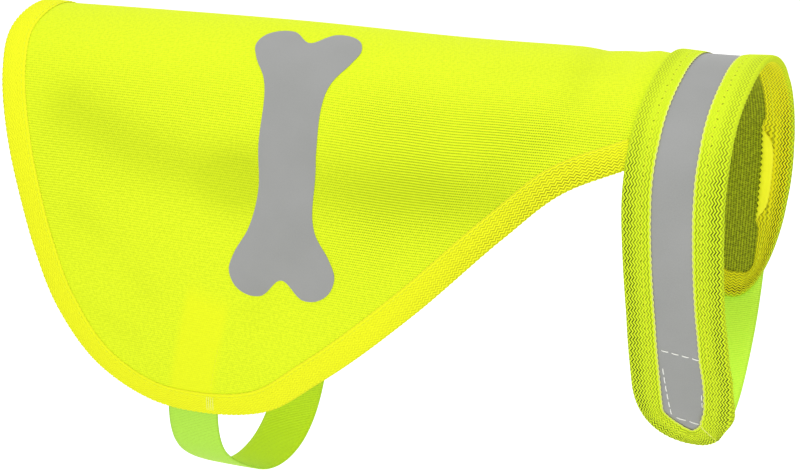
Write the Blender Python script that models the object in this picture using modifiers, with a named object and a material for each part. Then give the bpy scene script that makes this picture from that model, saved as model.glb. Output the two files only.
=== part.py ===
"""A reflective vest for a dog, worn and hollow, with no wearer.

One piece of fluorescent knit lies over the back and both sides, a collar closes round the neck, and two
straps of webbing close the vest under the throat and under the belly. Every piece is drawn flat, as it
would be cut, then bent onto a general figure and given its thickness.

Frame: +X to the head, +Y to the far side, +Z up. The origin is where the vest lies on the back, at the
spine. A flat piece is drawn with two sizes: x along the spine, and across, the distance round the figure
from the spine, positive on the near side.
"""

import functools
import math
from collections import namedtuple

import bmesh
import bpy
import numpy as np
from mathutils import Vector

# Cloth, metres.
CLOTH = 0.0010  # thickness of each layer
GAP = 0.0005  # air between two layers that are sewn together
BEND_ALONG = 0.026  # cloth is scored this often along the spine,
BEND_ACROSS = 0.009  # and this often round the figure, where it bends more
STATION = 0.012  # spacing of the points along a bound edge or a strap

# The collar: a strip round the neck, set a little askew, that reaches lower on the near side.
COLLAR_REAR_NEAR = 0.1432
COLLAR_REAR_FAR = 0.1405
COLLAR_FRONT_NEAR = 0.1905
COLLAR_FRONT_FAR = 0.1885
COLLAR_NEAR_END = 0.2315
COLLAR_FAR_END = -0.1775
BINDING_WIDTH = 0.014  # each leaf of the folded binding
PANEL_FRONT = 0.152  # the back panel's front edge lies under the collar
PANEL_SHIFT = 0.006  # the panel sits this much round to the near side

# The bone of reflective film.
BONE_X = -0.0355
BONE_ACROSS = 0.0875
BONE_TURN = math.radians(2.3)  # its upper end leans to the tail
BONE_LENGTH = 0.147
BONE_SPAN = 0.0575  # over the two knobs of one end
BONE_KNOB = 0.0138  # radius
BONE_NOTCH = 0.010  # depth between two knobs
BONE_SHOULDER = 0.021  # from the middle of the knobs to the neck of the shaft
BONE_NECK = 0.037  # width of the shaft at its necks,
BONE_WAIST = 0.0315  # and half way along
BONE_BOW = 0.0034  # the shaft's middle lies this much further to the head
BONE_SPACING = 0.006  # of the points along its outline

STRAP_WIDTH = 0.030

# Layers, counted outward from the figure: where the middle of each lies.
LAYER = CLOTH + GAP
PANEL = CLOTH / 2
PATCH = PANEL + LAYER
HEM_INNER_LEAF = PANEL - LAYER
HEM_OUTER_LEAF = PANEL + LAYER
BELLY_STRAP = HEM_INNER_LEAF - LAYER
COLLAR_INNER_LEAF = PANEL + LAYER
COLLAR_CLOTH = COLLAR_INNER_LEAF + LAYER
COLLAR_OUTER_LEAF = COLLAR_CLOTH + LAYER
NECK_STRAP_OUTSIDE = COLLAR_OUTER_LEAF + LAYER
NECK_STRAP_INSIDE = COLLAR_INNER_LEAF - LAYER

# The general figure: egg-shaped rings across the spine. The rise is above the widest line.
Ring = namedtuple("Ring", "x half_width rise drop spine")
FIGURE = (
    Ring(x=-0.225, half_width=0.064, rise=0.0875, drop=0.150, spine=0.0015),
    Ring(x=-0.150, half_width=0.069, rise=0.0930, drop=0.156, spine=0.0020),
    Ring(x=-0.060, half_width=0.071, rise=0.0940, drop=0.158, spine=0.0020),
    Ring(x=0.040, half_width=0.070, rise=0.0820, drop=0.153, spine=0.0000),
    Ring(x=0.100, half_width=0.069, rise=0.0660, drop=0.143, spine=0.0000),
    Ring(x=0.145, half_width=0.069, rise=0.0580, drop=0.136, spine=-0.0010),
    Ring(x=0.200, half_width=0.069, rise=0.0585, drop=0.134, spine=-0.0005),
)

# Half of the bound hem, from the panel's centre line at the tail to the collar.
Cut = namedtuple("Cut", "x across")
HEM = (
    Cut(x=-0.2125, across=0.0000),
    Cut(x=-0.2125, across=0.0280),
    Cut(x=-0.2070, across=0.0505),
    Cut(x=-0.1975, across=0.0815),
    Cut(x=-0.1885, across=0.1115),
    Cut(x=-0.1805, across=0.1435),
    Cut(x=-0.1695, across=0.1775),
    Cut(x=-0.1470, across=0.2120),
    Cut(x=-0.1190, across=0.2290),
    Cut(x=-0.0880, across=0.2320),
    Cut(x=-0.0530, across=0.2255),
    Cut(x=-0.0175, across=0.2005),
    Cut(x=0.0360, across=0.1550),
    Cut(x=0.0830, across=0.1115),
    Cut(x=0.1105, across=0.0885),
    Cut(x=COLLAR_REAR_FAR, across=0.0745),
)

# The collar's rounded corners, in order round it: what each takes off along the spine and across.
Corner = namedtuple("Corner", "x across round_x round_across")
COLLAR = (
    Corner(x=COLLAR_REAR_NEAR, across=COLLAR_NEAR_END, round_x=0.026, round_across=0.045),
    Corner(x=COLLAR_REAR_FAR, across=COLLAR_FAR_END, round_x=0.020, round_across=0.030),
    Corner(x=COLLAR_FRONT_FAR, across=COLLAR_FAR_END, round_x=0.026, round_across=0.080),
    Corner(x=COLLAR_FRONT_NEAR, across=COLLAR_NEAR_END, round_x=0.020, round_across=0.042),
)
CORNER_STEPS = 5

# The middle line of each strap. Up is the distance round the figure from its lowest line, positive on
# the near side.
Route = namedtuple("Route", "x up layer")
BELLY_ROUTE = (
    Route(x=-0.076, up=0.147, layer=BELLY_STRAP),
    Route(x=-0.090, up=0.102, layer=BELLY_STRAP),
    Route(x=-0.097, up=0.080, layer=BELLY_STRAP),
    Route(x=-0.098, up=0.052, layer=0.002),
    Route(x=-0.091, up=0.024, layer=-0.003),
    Route(x=-0.084, up=-0.010, layer=-0.006),
    Route(x=-0.082, up=-0.045, layer=0.000),
    Route(x=-0.080, up=-0.090, layer=BELLY_STRAP),
    Route(x=-0.076, up=-0.147, layer=BELLY_STRAP),
)
NECK_ROUTE = (
    Route(x=0.166, up=0.079, layer=NECK_STRAP_INSIDE),
    Route(x=0.166, up=0.055, layer=NECK_STRAP_INSIDE),
    Route(x=0.165, up=0.030, layer=-0.004),
    Route(x=0.165, up=0.000, layer=-0.009),
    Route(x=0.164, up=-0.040, layer=-0.003),
    Route(x=0.162, up=-0.085, layer=NECK_STRAP_OUTSIDE),
    Route(x=0.162, up=-0.105, layer=NECK_STRAP_OUTSIDE),
    Route(x=0.162, up=-0.132, layer=NECK_STRAP_OUTSIDE),
)

# Colours, linear.
KNIT_YELLOW = (0.75, 1.00, 0.02)
BINDING_YELLOW = (0.90, 1.00, 0.02)
REFLECTIVE_GREY = (0.38, 0.38, 0.39)
WEBBING_GREEN = (0.45, 0.95, 0.06)

ANGLES = np.radians(np.arange(0.0, 181.0))  # round one side of a ring, from the spine down


def between_rows(table, knots, places):
    """Smooth values of a table's columns at places between its rows, which lie at the knots."""
    slopes = np.gradient(table, knots, axis=0)
    row = np.clip(np.searchsorted(knots, places) - 1, 0, len(knots) - 2)
    step = (knots[row + 1] - knots[row])[:, None]
    done = np.clip((places - knots[row])[:, None] / step, 0.0, 1.0)
    left = 1.0 - done
    start = table[row] * (1.0 + 2.0 * done) + slopes[row] * step * done
    end = table[row + 1] * (1.0 + 2.0 * left) - slopes[row + 1] * step * left
    return start * left**2 + end * done**2


def lengths_along(points):
    """The distance of each point from the first, along the line through them."""
    steps = np.linalg.norm(np.diff(points, axis=0), axis=1)
    return np.concatenate([[0.0], np.cumsum(steps)])


def smooth_line(points, spacing):
    """Evenly spaced points on a smooth curve through the given ones."""
    points = np.array(points)
    knots = lengths_along(points)
    fine = between_rows(points, knots, np.linspace(0.0, knots[-1], 1000))
    along = lengths_along(fine)
    even = np.linspace(0.0, along[-1], round(along[-1] / spacing) + 1)
    return np.column_stack([np.interp(even, along, column) for column in fine.T])


def moved_in(line, distance):
    """A flat line, moved to its left by the same distance all along."""
    heading = np.gradient(line, axis=0)
    left = np.column_stack([-heading[:, 1], heading[:, 0]])
    return line + distance * left / np.linalg.norm(left, axis=1)[:, None]


@functools.lru_cache(maxsize=None)
def ring_at(x):
    """The figure's ring at x, and how far round it each of the angles lies from the spine."""
    table = np.array(FIGURE)
    ring = Ring(*between_rows(table, table[:, 0], np.array([x]))[0])
    depth = np.where(ANGLES < math.pi / 2, ring.rise, ring.drop)
    points = np.column_stack([ring.half_width * np.sin(ANGLES), depth * np.cos(ANGLES)])
    return ring, lengths_along(points)


def half_girth(x):
    """Half the way round the figure at x."""
    return ring_at(x)[1][-1]


def worn(x, across, out):
    """Where a point of a flat piece lies on the worn vest, out from the figure."""
    ring, distances = ring_at(x)
    half = distances[-1]
    across = (across + half) % (2.0 * half) - half
    side = math.copysign(1.0, across)
    angle = float(np.interp(abs(across), distances, ANGLES))
    depth = ring.rise if angle < math.pi / 2 else ring.drop
    sine, cosine = math.sin(angle), math.cos(angle)
    place = Vector((x, -side * ring.half_width * sine, ring.spine - ring.rise + depth * cosine))
    outward = Vector((0.0, -side * depth * sine, ring.half_width * cosine))
    return place + outward.normalized() * out


def fabric(name, colour, roughness):
    """A Principled material for one kind of cloth."""
    material = bpy.data.materials.new(name)
    material.use_nodes = True
    shader = material.node_tree.nodes["Principled BSDF"]
    shader.inputs["Base Color"].default_value = (*colour, 1.0)
    shader.inputs["Roughness"].default_value = roughness
    shader.inputs["Metallic"].default_value = 0.0
    return material


def sewn_piece(name, sheet, material):
    """An object of cloth from an open sheet, half the thickness to each side of it."""
    mesh = bpy.data.meshes.new(name)
    sheet.to_mesh(mesh)
    sheet.free()
    mesh.materials.append(material)
    piece = bpy.data.objects.new(name, mesh)
    vest.objects.link(piece)
    wall = piece.modifiers.new("thickness", "SOLIDIFY")
    wall.thickness = CLOTH
    wall.offset = 0.0
    wall.use_even_offset = True


def cut_piece(name, outline, layer, material):
    """Cloth cut to a flat outline, scored where it bends, and laid on the figure."""
    sheet = bmesh.new()
    sheet.faces.new([sheet.verts.new((x, across, 0.0)) for x, across in outline])
    for axis, pitch in enumerate((BEND_ALONG, BEND_ACROSS)):
        direction = Vector((axis == 0, axis == 1, 0))
        first = math.ceil(outline[:, axis].min() / pitch)
        last = math.floor(outline[:, axis].max() / pitch)
        for line in range(first, last + 1):
            bmesh.ops.bisect_plane(
                sheet,
                geom=sheet.verts[:] + sheet.edges[:] + sheet.faces[:],
                dist=1e-6,
                plane_co=direction * line * pitch,
                plane_no=direction,
            )
    for vertex in sheet.verts:
        vertex.co = worn(vertex.co.x, vertex.co.y, layer)
    sewn_piece(name, sheet, material)


def strip_piece(name, stations, material, closed=False):
    """A long strip of cloth. A station is a row of points over its width: (x, across, out)."""
    sheet = bmesh.new()
    rows = len(stations) - 1
    columns = len(stations[0]) - 1
    bmesh.ops.create_grid(sheet, x_segments=rows, y_segments=columns, size=0.5)
    for vertex in sheet.verts:
        station = stations[round((vertex.co.x + 0.5) * rows)]
        vertex.co = worn(*station[round((vertex.co.y + 0.5) * columns)])
    if closed:
        bmesh.ops.remove_doubles(sheet, verts=sheet.verts, dist=1e-6)
    sewn_piece(name, sheet, material)


def folded_binding(name, fold_line, leaf_edge, inner_leaf, outer_leaf, material, closed=False):
    """Binding folded over an edge: an inner leaf, the fold, and an outer leaf."""
    stations = []
    for fold, leaf in zip(fold_line, leaf_edge):
        width = (fold, (fold + leaf) / 2, leaf)
        inner = [(*point, inner_leaf) for point in width[::-1]]
        outer = [(*point, outer_leaf) for point in width]
        stations.append(inner + outer)
    strip_piece(name, stations, material, closed)


def strap(name, route, material):
    """Flat webbing along a route."""
    stations = []
    for x, up, layer in smooth_line(route, STATION):
        across = half_girth(x) - up
        stations.append([(x - STRAP_WIDTH / 2, across, layer), (x + STRAP_WIDTH / 2, across, layer)])
    strip_piece(name, stations, material)


def collar_loop(inset, side_stations):
    """Points round the collar, inside its edge by the inset, with stations on its two long sides."""
    quarter = np.linspace(0.0, math.pi / 2, CORNER_STEPS + 1)
    middle_x = (COLLAR[0].x + COLLAR[-1].x) / 2
    loop = []
    for index, corner in enumerate(COLLAR):
        side_x = math.copysign(1.0, corner.x - middle_x)
        side_across = math.copysign(1.0, corner.across)
        outward = np.array([side_x, side_across])
        rounding = np.array([corner.round_x, corner.round_across])
        centre = np.array([corner.x, corner.across]) - outward * rounding
        reach = outward * (rounding - inset)
        onto_long_side = index % 2 == 0
        if not onto_long_side:
            start = loop[-1]
            end = centre + reach * (1.0, 0.0)
            shares = np.linspace(0.0, 1.0, side_stations + 2)[1:-1]
            loop += [start + share * (end - start) for share in shares]
        for angle in quarter[::-1] if onto_long_side else quarter:
            loop.append(centre + reach * (math.cos(angle), math.sin(angle)))
    return np.array(loop)


def bone_outline():
    """The bone in the flat: four round knobs and a slightly bowed shaft with a slight waist."""
    knob_x = BONE_SPAN / 2 - BONE_KNOB
    knob_end = BONE_LENGTH / 2 - BONE_KNOB
    quarter = [(BONE_WAIST / 2, 0.0), (BONE_NECK / 2, knob_end - BONE_SHOULDER)]
    for degrees in (-37, 0, 40, 80, 100):
        angle = math.radians(degrees)
        quarter.append((knob_x + BONE_KNOB * math.cos(angle), knob_end + BONE_KNOB * math.sin(angle)))
    notch = [(0.0, BONE_LENGTH / 2 - BONE_NOTCH)]
    half = quarter + notch + [(-x, y) for x, y in reversed(quarter)]
    loop = smooth_line(half + [(-x, -y) for x, y in half[1:]], BONE_SPACING)[:-1]
    loop[:, 0] += BONE_BOW * (np.cos(math.pi * loop[:, 1] / BONE_LENGTH) - 0.5)
    cosine, sine = math.cos(BONE_TURN), math.sin(BONE_TURN)
    lean = np.array([[cosine, -sine], [sine, cosine]])
    return loop @ lean + (BONE_X, BONE_ACROSS)


for leftover in list(bpy.data.objects):
    bpy.data.objects.remove(leftover)
vest = bpy.data.collections.new("dog_reflective_vest")
bpy.context.scene.collection.children.link(vest)

knit = fabric("fluorescent_knit", KNIT_YELLOW, roughness=0.85)
tape = fabric("knitted_binding", BINDING_YELLOW, roughness=0.85)
film = fabric("reflective_film", REFLECTIVE_GREY, roughness=0.45)
webbing = fabric("webbing", WEBBING_GREEN, roughness=0.60)

# The back panel. Its cut edge lies in the fold of the hem binding, and its front edge under the collar.
both_sides = HEM[::-1] + tuple((cut.x, -cut.across) for cut in HEM[1:])
hem = smooth_line(both_sides, STATION) + (0.0, PANEL_SHIFT)
cut_edge = moved_in(hem, CLOTH + GAP)
front_corners = [(PANEL_FRONT, cut_edge[-1][1]), (PANEL_FRONT, cut_edge[0][1])]
cut_piece("back_panel", np.vstack([cut_edge, front_corners]), PANEL, knit)
folded_binding(
    "hem_binding",
    moved_in(hem, CLOTH / 2),
    moved_in(hem, BINDING_WIDTH),
    HEM_INNER_LEAF,
    HEM_OUTER_LEAF,
    tape,
)
cut_piece("bone_patch", bone_outline(), PATCH, film)

# The collar: its cloth, the binding round its whole edge, and the tape that shows between the leaves.
sides = round((COLLAR_NEAR_END - COLLAR_FAR_END) / STATION)
cut_piece("collar_band", collar_loop(CLOTH + GAP, 0), COLLAR_CLOTH, knit)
cut_piece("collar_tape", collar_loop(BINDING_WIDTH + GAP, 0), COLLAR_OUTER_LEAF, film)
fold_line = collar_loop(CLOTH / 2, sides)
leaf_edge = collar_loop(BINDING_WIDTH, sides)
folded_binding(
    "collar_binding",
    np.vstack([fold_line, fold_line[:1]]),
    np.vstack([leaf_edge, leaf_edge[:1]]),
    COLLAR_INNER_LEAF,
    COLLAR_OUTER_LEAF,
    tape,
    closed=True,
)

strap("belly_strap", BELLY_ROUTE, webbing)
strap("neck_strap", NECK_ROUTE, webbing)
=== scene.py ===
# %% [markdown]
# # A reflective vest for a dog
# The vest is cloth, cut flat and sewn: a panel of fluorescent knit over the back, a collar, two straps of
# webbing, and a bone of reflective film. It keeps the shape it has when worn, with nobody in it.
#
# A tailor thinks in flat pieces, so every piece is laid out flat first, with two sizes: x along the spine,
# and across, the distance round the body from the spine. One function then bends it to the worn shape. The
# same two sizes are the piece's UV map, so a knit or a weave always runs along the cloth.

# %% Load the frame
import math
from collections import namedtuple

import bmesh
import bpy
import numpy as np
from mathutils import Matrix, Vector


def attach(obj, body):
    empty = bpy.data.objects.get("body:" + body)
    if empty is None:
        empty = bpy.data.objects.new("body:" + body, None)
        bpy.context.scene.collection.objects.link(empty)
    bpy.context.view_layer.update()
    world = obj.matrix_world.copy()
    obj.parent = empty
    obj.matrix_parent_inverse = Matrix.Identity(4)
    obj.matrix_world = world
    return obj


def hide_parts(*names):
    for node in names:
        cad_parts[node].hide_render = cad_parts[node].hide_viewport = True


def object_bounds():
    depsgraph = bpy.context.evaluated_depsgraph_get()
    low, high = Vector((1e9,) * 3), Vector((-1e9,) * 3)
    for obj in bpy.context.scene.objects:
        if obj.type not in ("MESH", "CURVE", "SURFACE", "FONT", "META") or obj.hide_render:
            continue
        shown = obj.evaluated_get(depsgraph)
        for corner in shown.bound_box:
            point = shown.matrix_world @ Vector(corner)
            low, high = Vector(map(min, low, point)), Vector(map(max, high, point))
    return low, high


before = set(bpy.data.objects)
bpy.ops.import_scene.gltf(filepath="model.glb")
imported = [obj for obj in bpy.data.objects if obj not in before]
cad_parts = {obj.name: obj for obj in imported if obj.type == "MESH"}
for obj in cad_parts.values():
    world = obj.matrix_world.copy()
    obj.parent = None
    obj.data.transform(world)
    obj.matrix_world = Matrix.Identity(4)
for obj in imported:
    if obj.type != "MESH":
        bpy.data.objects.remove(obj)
cad_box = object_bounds()
MM = 0.001
print("the vest's box, mm:", [[round(size / MM) for size in corner] for corner in cad_box])

# %% [markdown]
# ## Camera, light and floor
# A vest like this is pictured from its side, a little from the front and from above, with a long lens, so
# that its near and far side keep almost the same size.

# %% Camera
VIEW_ROUND = math.radians(23.0)
VIEW_UP = math.radians(16.5)
VIEW_DISTANCE = 1.092
VIEW_CENTRE = Vector((0.0, 0.0, -0.105))
LENS = 94.5

towards_camera = Vector((
    math.sin(VIEW_ROUND) * math.cos(VIEW_UP),
    -math.cos(VIEW_ROUND) * math.cos(VIEW_UP),
    math.sin(VIEW_UP),
))
lens = bpy.data.cameras.new("camera")
lens.lens = LENS
camera = bpy.data.objects.new("camera", lens)
camera.location = VIEW_CENTRE + towards_camera * VIEW_DISTANCE
camera.rotation_euler = towards_camera.to_track_quat("Z", "Y").to_euler()
bpy.context.scene.collection.objects.link(camera)
bpy.context.scene.camera = camera
bpy.context.scene.view_settings.view_transform = "Standard"
print("camera at", [round(size, 3) for size in camera.location])

# %% [markdown]
# A material is a tree of nodes. One small function adds a node and sets or links its inputs, so that the
# materials below read as a list of what they are made of. Colours are written as sRGB hex, the way a colour
# picker shows them, and one function turns them into the linear colours that a shader works in.


# %% Helpers for materials
def linear(hex_colour):
    """An sRGB colour such as #FFD200, as the linear colour that a shader works in."""
    channels = [int(hex_colour[place : place + 2], 16) / 255 for place in (1, 3, 5)]
    toe, slope, offset, gamma = 0.04045, 12.92, 0.055, 2.4
    return (*[c / slope if c <= toe else ((c + offset) / (1 + offset)) ** gamma for c in channels], 1.0)


def plug(tree, node, inputs):
    """Sets or links inputs: each to a number, a hex colour, a socket, or the first output of a node."""
    for place, value in inputs.items():
        if isinstance(value, bpy.types.Node):
            value = value.outputs[0]
        if isinstance(value, bpy.types.NodeSocket):
            tree.links.new(value, node.inputs[place])
        else:
            node.inputs[place].default_value = linear(value) if isinstance(value, str) else value
    return node


def add(tree, kind, inputs=None, **settings):
    """Adds a shader node with its settings and inputs."""
    node = tree.nodes.new("ShaderNode" + kind)
    for name, value in settings.items():
        setattr(node, name, value)
    return plug(tree, node, inputs or {})


def new_material(name):
    """An empty Principled material: its node tree and its shader."""
    material = bpy.data.materials.new(name)
    material.use_nodes = True
    return material, material.node_tree, material.node_tree.nodes["Principled BSDF"]


print("a mid grey of #808080 is", round(linear("#808080")[0], 3), "in linear light")

# %% [markdown]
# The light is soft and comes from everywhere: a plain sky, a little more from overhead, and some from low in
# front, which keeps the side from going dull. The sky looks white to the camera and in shiny things, whatever
# light it gives. A dog would stand on the floor, so the floor is a leg's length below the belly strap. It is
# matt paint: rough and without shine, so that it shows nothing but the vest's soft shadow.

# %% Sky, lamps and floor
SKY_STRENGTH = 0.78
FLOOR_DROP = 0.30  # from the belly strap down to the floor
FLOOR_SIZE = 12.0

sky = bpy.data.worlds.new("studio")
sky.use_nodes = True
bpy.context.scene.world = sky
tree = sky.node_tree
tree.nodes.clear()
rays = add(tree, "LightPath").outputs
seen = add(tree, "Math", {0: rays["Is Camera Ray"], 1: rays["Is Glossy Ray"]}, operation="MAXIMUM")
seen = add(tree, "Math", {0: seen, 1: rays["Is Transmission Ray"]}, operation="MAXIMUM")
shine = add(tree, "Background", {"Color": "#FFFFFF", "Strength": SKY_STRENGTH})
backdrop = add(tree, "Background", {"Color": "#FFFFFF", "Strength": 1.0})
add(tree, "OutputWorld", {"Surface": add(tree, "MixShader", {0: seen, 1: shine, 2: backdrop})})

Lamp = namedtuple("Lamp", "name place size watts")
for lamp in (
    Lamp("overhead", (0.10, -0.30, 1.30), 1.2, 6.0),
    Lamp("low_front", (0.30, -1.15, -0.44), 0.9, 5.3),
):
    light = bpy.data.lights.new(lamp.name, "AREA")
    light.size = lamp.size
    light.energy = lamp.watts
    stand = bpy.data.objects.new(lamp.name, light)
    stand.location = lamp.place
    stand.rotation_euler = (stand.location - VIEW_CENTRE).to_track_quat("Z", "Y").to_euler()
    bpy.context.scene.collection.objects.link(stand)

bpy.ops.object.select_all(action="DESELECT")
bpy.ops.mesh.primitive_plane_add(size=FLOOR_SIZE, location=(0.0, 0.0, cad_box[0].z - FLOOR_DROP))
floor = bpy.context.object
floor.name = "floor"
material, tree, shader = new_material("painted_floor")
plug(tree, shader, {"Base Color": "#F4F4F2", "Roughness": 0.9, "Specular IOR Level": 0.0})
glow = add(tree, "Emission", {"Color": "#FFFFFF", "Strength": 0.60})
lifted = add(tree, "AddShader", {0: shader, 1: glow})
to_camera = add(tree, "LightPath").outputs["Is Camera Ray"]
paint = add(tree, "MixShader", {0: to_camera, 1: shader, 2: lifted})
plug(tree, tree.nodes["Material Output"], {"Surface": paint})
floor.data.materials.append(material)
print("floor at z =", round(floor.location.z, 3))

# %% [markdown]
# ## The body that nobody sees
# The worn shape comes from a general figure: egg-shaped rings across the spine, given by their half width,
# how far the widest line lies below the back, and how far the belly lies below that. A cloth simulation
# could drape the vest too, but it would need the dog, and the pieces would not land where they should. The
# plain solids were made on this same figure, so every cloth lands on its solid.

# %% The figure and the function that dresses it
Ring = namedtuple("Ring", "x half_width rise drop spine")
FIGURE = np.array([
    Ring(-0.225, 0.064, 0.0875, 0.150, 0.0015),
    Ring(-0.150, 0.069, 0.0930, 0.156, 0.0020),
    Ring(-0.060, 0.071, 0.0940, 0.158, 0.0020),
    Ring(0.040, 0.070, 0.0820, 0.153, 0.0000),
    Ring(0.100, 0.069, 0.0660, 0.143, 0.0000),
    Ring(0.145, 0.069, 0.0580, 0.136, -0.0010),
    Ring(0.200, 0.069, 0.0585, 0.134, -0.0005),
])
ANGLES = np.radians(np.arange(0.0, 181.0))  # round one side of a ring, from the spine down
RING_STEP = 0.001
STATIONS = np.arange(-0.230, 0.206, RING_STEP)


def between_rows(table, knots, places):
    """Smooth values of a table's columns at places between its rows, which lie at the knots."""
    slopes = np.gradient(table, knots, axis=0)
    row = np.clip(np.searchsorted(knots, places) - 1, 0, len(knots) - 2)
    step = (knots[row + 1] - knots[row])[:, None]
    done = np.clip((places - knots[row])[:, None] / step, 0.0, 1.0)
    left = 1.0 - done
    start = table[row] * (1.0 + 2.0 * done) + slopes[row] * step * done
    end = table[row + 1] * (1.0 + 2.0 * left) - slopes[row + 1] * step * left
    return start * left**2 + end * done**2


def ring_lengths():
    """For each station, how far round its ring each of the angles lies from the spine."""
    rings = between_rows(FIGURE, FIGURE[:, 0], STATIONS)
    depth = np.where(ANGLES < math.pi / 2, rings[:, 2:3], rings[:, 3:4])
    steps = np.hypot(np.diff(rings[:, 1:2] * np.sin(ANGLES)), np.diff(depth * np.cos(ANGLES)))
    return np.pad(np.cumsum(steps, axis=1), ((0, 0), (1, 0)))


LENGTHS = ring_lengths()


def lengths_at(x):
    """The same lengths between the stations."""
    place = np.clip((x - STATIONS[0]) / RING_STEP, 0, len(STATIONS) - 1.001)
    row = place.astype(int)
    past = (place - row)[:, None]
    return LENGTHS[row] * (1.0 - past) + LENGTHS[row + 1] * past


def half_girth(x):
    """Half the way round the figure at x."""
    return lengths_at(np.atleast_1d(x))[:, -1]


def worn(x, across, out):
    """Where points of a flat piece lie on the worn vest, moved out from the figure."""
    x, across, out = (np.ravel(values) for values in np.broadcast_arrays(x, across, out))
    lengths = lengths_at(x)
    half = lengths[:, -1]
    across = (across + half) % (2.0 * half) - half
    distance = np.abs(across)
    before = np.clip((lengths < distance[:, None]).sum(axis=1) - 1, 0, len(ANGLES) - 2)
    low = np.take_along_axis(lengths, before[:, None], axis=1)[:, 0]
    high = np.take_along_axis(lengths, before[:, None] + 1, axis=1)[:, 0]
    angle = ANGLES[before] + (distance - low) / (high - low) * ANGLES[1]
    ring = between_rows(FIGURE, FIGURE[:, 0], x)
    depth = np.where(angle < math.pi / 2, ring[:, 2], ring[:, 3])
    side = -np.where(across < 0.0, -1.0, 1.0)
    outward = np.stack([np.zeros_like(x), side * depth * np.sin(angle), ring[:, 1] * np.cos(angle)], 1)
    outward /= np.linalg.norm(outward, axis=1)[:, None]
    height = ring[:, 4] - ring[:, 2] + depth * np.cos(angle)
    return np.stack([x, side * ring[:, 1] * np.sin(angle), height], 1) + outward * out[:, None]


print("girth at the belly, mm:", round(2 * half_girth(-0.06)[0] / MM))

# %% [markdown]
# ## How the cloth gives
# Cloth on a back isn't a smooth tube. It sinks a little where it hangs free between two places that hold
# it, and it gathers where a seam is tight. A noise could wrinkle it all over, but it would look like
# crumpled paper, because cloth creases where something pulls. So each crease below is laid one by one: a
# soft trough along a bowed line, or a ridge where its depth is negative. Their lengths, depths and spacing
# are uneven, as real ones are. All the layers take the same creases, so they stay on each other.

# %% Creases
Crease = namedtuple("Crease", "x across to_x to_across bow depth width")
CREASES = (
    # The near side: a long valley from the tail, past the bone, to the neck.
    Crease(-0.163, 0.074, -0.060, 0.104, 0.006, 0.0028, 0.016),
    Crease(-0.062, 0.103, 0.078, 0.101, -0.001, 0.0032, 0.017),
    Crease(-0.160, 0.040, -0.070, 0.060, 0.003, -0.0009, 0.014),
    Crease(-0.120, 0.140, -0.030, 0.150, 0.002, -0.0007, 0.016),
    # Short pulls from where the belly strap is sewn.
    Crease(-0.112, 0.168, -0.150, 0.130, 0.003, 0.0007, 0.008),
    Crease(-0.052, 0.172, -0.012, 0.142, -0.003, 0.0008, 0.009),
    Crease(-0.126, 0.196, -0.158, 0.178, 0.001, 0.0005, 0.006),
    # The panel gathers before the collar.
    Crease(0.108, -0.030, 0.106, 0.045, 0.003, 0.0012, 0.008),
    Crease(0.132, -0.052, 0.132, 0.056, 0.000, -0.0014, 0.006),
    Crease(0.128, 0.062, 0.074, 0.082, 0.002, 0.0006, 0.006),
    Crease(0.120, 0.020, 0.062, 0.030, -0.002, 0.0005, 0.007),
    # The far side gives in the same way, not in the same places.
    Crease(-0.182, -0.090, -0.050, -0.116, -0.005, 0.0026, 0.021),
    Crease(-0.060, -0.128, 0.070, -0.112, 0.004, 0.0020, 0.018),
    Crease(-0.140, -0.050, -0.020, -0.066, 0.003, -0.0007, 0.014),
    Crease(-0.104, -0.164, -0.146, -0.128, -0.003, 0.0008, 0.009),
    Crease(-0.048, -0.170, -0.006, -0.136, 0.003, 0.0006, 0.008),
    Crease(0.126, -0.060, 0.070, -0.088, -0.002, 0.0007, 0.007),
    # The collar.
    Crease(0.150, 0.066, 0.184, 0.072, 0.001, 0.0006, 0.006),
    Crease(0.152, 0.098, 0.182, 0.090, -0.001, 0.0005, 0.005),
    Crease(0.148, 0.150, 0.190, 0.158, 0.002, 0.0004, 0.007),
    Crease(0.150, -0.060, 0.188, -0.052, 0.001, 0.0006, 0.006),
    Crease(0.150, -0.118, 0.186, -0.126, -0.002, 0.0007, 0.007),
    Crease(0.148, -0.099, 0.186, -0.097, 0.001, 0.0007, 0.003),
    # Small gathers where the collar's tape turns its near end.
    Crease(0.1530, 0.2090, 0.1660, 0.2190, 0.001, -0.0006, 0.0020),
    Crease(0.1520, 0.2125, 0.1650, 0.2222, 0.001, 0.0009, 0.0016),
    Crease(0.1560, 0.2175, 0.1700, 0.2250, 0.000, -0.0005, 0.0016),
)


def ease(x, across):
    """How far all the layers lie outside their smooth shape at a flat place."""
    total = np.zeros(np.broadcast(x, across).shape)
    for crease in CREASES:
        start = np.array([crease.x, crease.across])
        run = np.array([crease.to_x, crease.to_across]) - start
        length = np.linalg.norm(run)
        heading = run / length
        along = (x - start[0]) * heading[0] + (across - start[1]) * heading[1]
        aside = (across - start[1]) * heading[0] - (x - start[0]) * heading[1]
        done = np.clip(along / length, 0.0, 1.0)
        aside = aside - crease.bow * np.sin(math.pi * done)
        past = along - done * length
        total -= crease.depth * np.exp(-(aside**2 + past**2) / crease.width**2)
    return total


valley = -ease(-0.060, np.linspace(0.0, 0.2, 201)).min()
print(len(CREASES), "creases; the valley behind the bone is", round(valley / MM, 1), "mm deep")

# %% [markdown]
# ## Cutting cloth
# The panel, the collar's cloth and the films are cut from flat cloth, and are made in that way here. A grid
# of squares would have a stepped edge. Here the outline is one many-sided face, which keeps its edge
# exactly, and fine parallel cuts, along and across, score it so that it can bend. Its flat places are kept
# as the UV map, worn moves its points to the worn shape, and Solidify gives it its thickness.
#
# Each cut piece also remembers, point by point, how deep in a trough it lies, so that the knit can be
# painted darker there: painted shade at the bottom of a trough.


# %% Helpers for cut cloth
CUT_EDGE_ANGLE = math.radians(40.0)
# The painted shade in troughs is full at this depth.
FULL_SHADE = 3.8 * MM  # a trough this deep has all of its deeper colour


def triangle_count(piece):
    piece.data.calc_loop_triangles()
    return len(piece.data.loop_triangles)


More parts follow.
